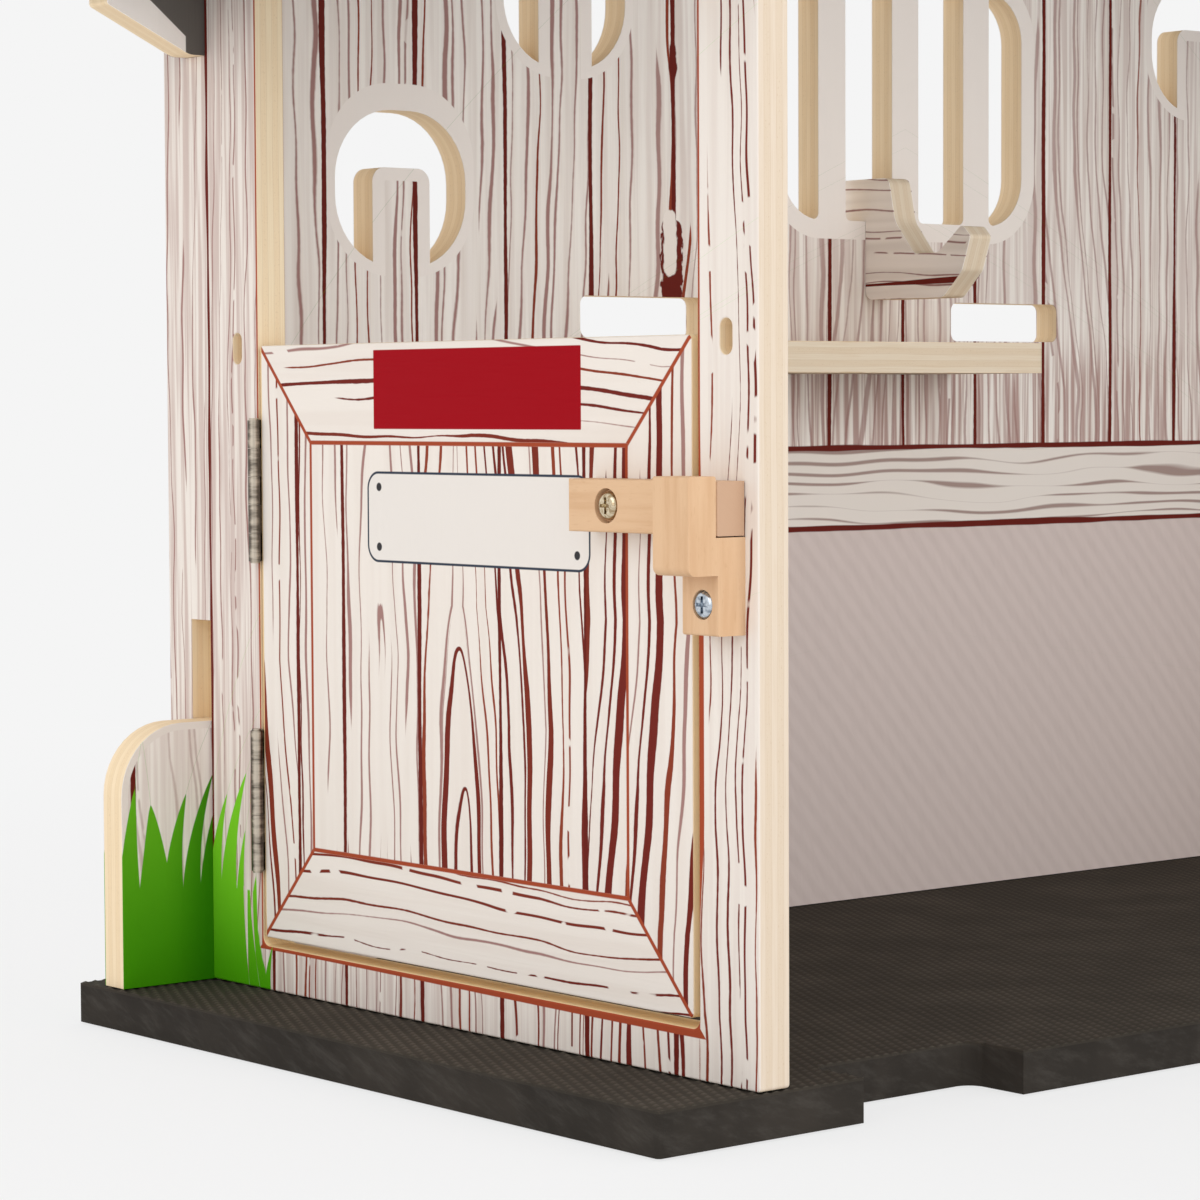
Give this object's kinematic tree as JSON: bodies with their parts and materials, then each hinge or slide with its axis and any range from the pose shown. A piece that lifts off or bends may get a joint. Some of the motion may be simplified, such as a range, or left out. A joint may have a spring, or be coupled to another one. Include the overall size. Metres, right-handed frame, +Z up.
{
  "type": "toy barn",
  "caption": "Open-fronted toy barn of slot-together printed plywood with a latched, hinged half door in each end wall, standing on a rubber floor mat.",
  "frame": {"origin": "centre of the footprint, on the underside of the floor mat", "axes": "+X along the back wall, +Y from the open front to the back wall, +Z up"},
  "size_m": [0.5996, 0.259, 0.5328],
  "materials": {
    "printed_ply": "satin plywood printed with brushed off-white boards and red-brown grain lines, bare tan edges",
    "plain_ply": "satin clear-lacquered plywood",
    "slate_board": "satin plywood printed as dark slate, bare tan edges",
    "beech": "smooth clear-lacquered beech",
    "hinge_steel": "dulled bare steel",
    "zinc_screw": "bright zinc plating",
    "rubber_mat": "matt foam rubber with a finely ribbed top"
  },
  "bodies": {
    "barn": {"floor_mat": "rubber_mat", "back_wall": "printed_ply", "front_gable": "printed_ply", "ridge_cap": "slate_board", "shelf": "plain_ply", "bridle_hook": "printed_ply", "left_wall": "printed_ply", "left_latch_keeper": "beech", "left_keeper_screw": "zinc_screw", "left_lower_hinge_wall_leaf": "hinge_steel", "left_lower_hinge_pin": "hinge_steel", "left_upper_hinge_wall_leaf": "hinge_steel", "left_upper_hinge_pin": "hinge_steel", "left_hinge_wall_screws": "hinge_steel", "left_roof_board": "slate_board", "right_wall": "printed_ply", "right_latch_keeper": "beech", "right_keeper_screw": "zinc_screw", "right_lower_hinge_wall_leaf": "hinge_steel", "right_lower_hinge_pin": "hinge_steel", "right_upper_hinge_wall_leaf": "hinge_steel", "right_upper_hinge_pin": "hinge_steel", "right_hinge_wall_screws": "hinge_steel", "right_roof_board": "slate_board"},
    "left_door": {"left_door": "printed_ply", "left_latch_pivot_screw": "zinc_screw", "left_lower_hinge_door_leaf": "hinge_steel", "left_upper_hinge_door_leaf": "hinge_steel", "left_hinge_door_screws": "hinge_steel"},
    "left_latch": {"left_latch_bar": "beech"},
    "right_door": {"right_door": "printed_ply", "right_latch_pivot_screw": "zinc_screw", "right_lower_hinge_door_leaf": "hinge_steel", "right_upper_hinge_door_leaf": "hinge_steel", "right_hinge_door_screws": "hinge_steel"},
    "right_latch": {"right_latch_bar": "beech"}
  },
  "joints": [
    {"name": "left_door_hinge", "type": "hinge", "parent": "barn", "child": "left_door", "pos_m": [-0.2577, 0.0742, 0.1], "axis": [0, 0, -1], "range_deg": [0, 120]},
    {"name": "left_latch_pivot", "type": "hinge", "parent": "left_door", "child": "left_latch", "pos_m": [-0.2603, -0.0754, 0.1393], "axis": [-1, 0, 0], "range_deg": [0, 90]},
    {"name": "right_door_hinge", "type": "hinge", "parent": "barn", "child": "right_door", "pos_m": [0.2577, 0.0742, 0.1], "axis": [0, 0, 1], "range_deg": [0, 120]},
    {"name": "right_latch_pivot", "type": "hinge", "parent": "right_door", "child": "right_latch", "pos_m": [0.2603, -0.0754, 0.1393], "axis": [-1, 0, 0], "range_deg": [0, 90]}
  ]
}
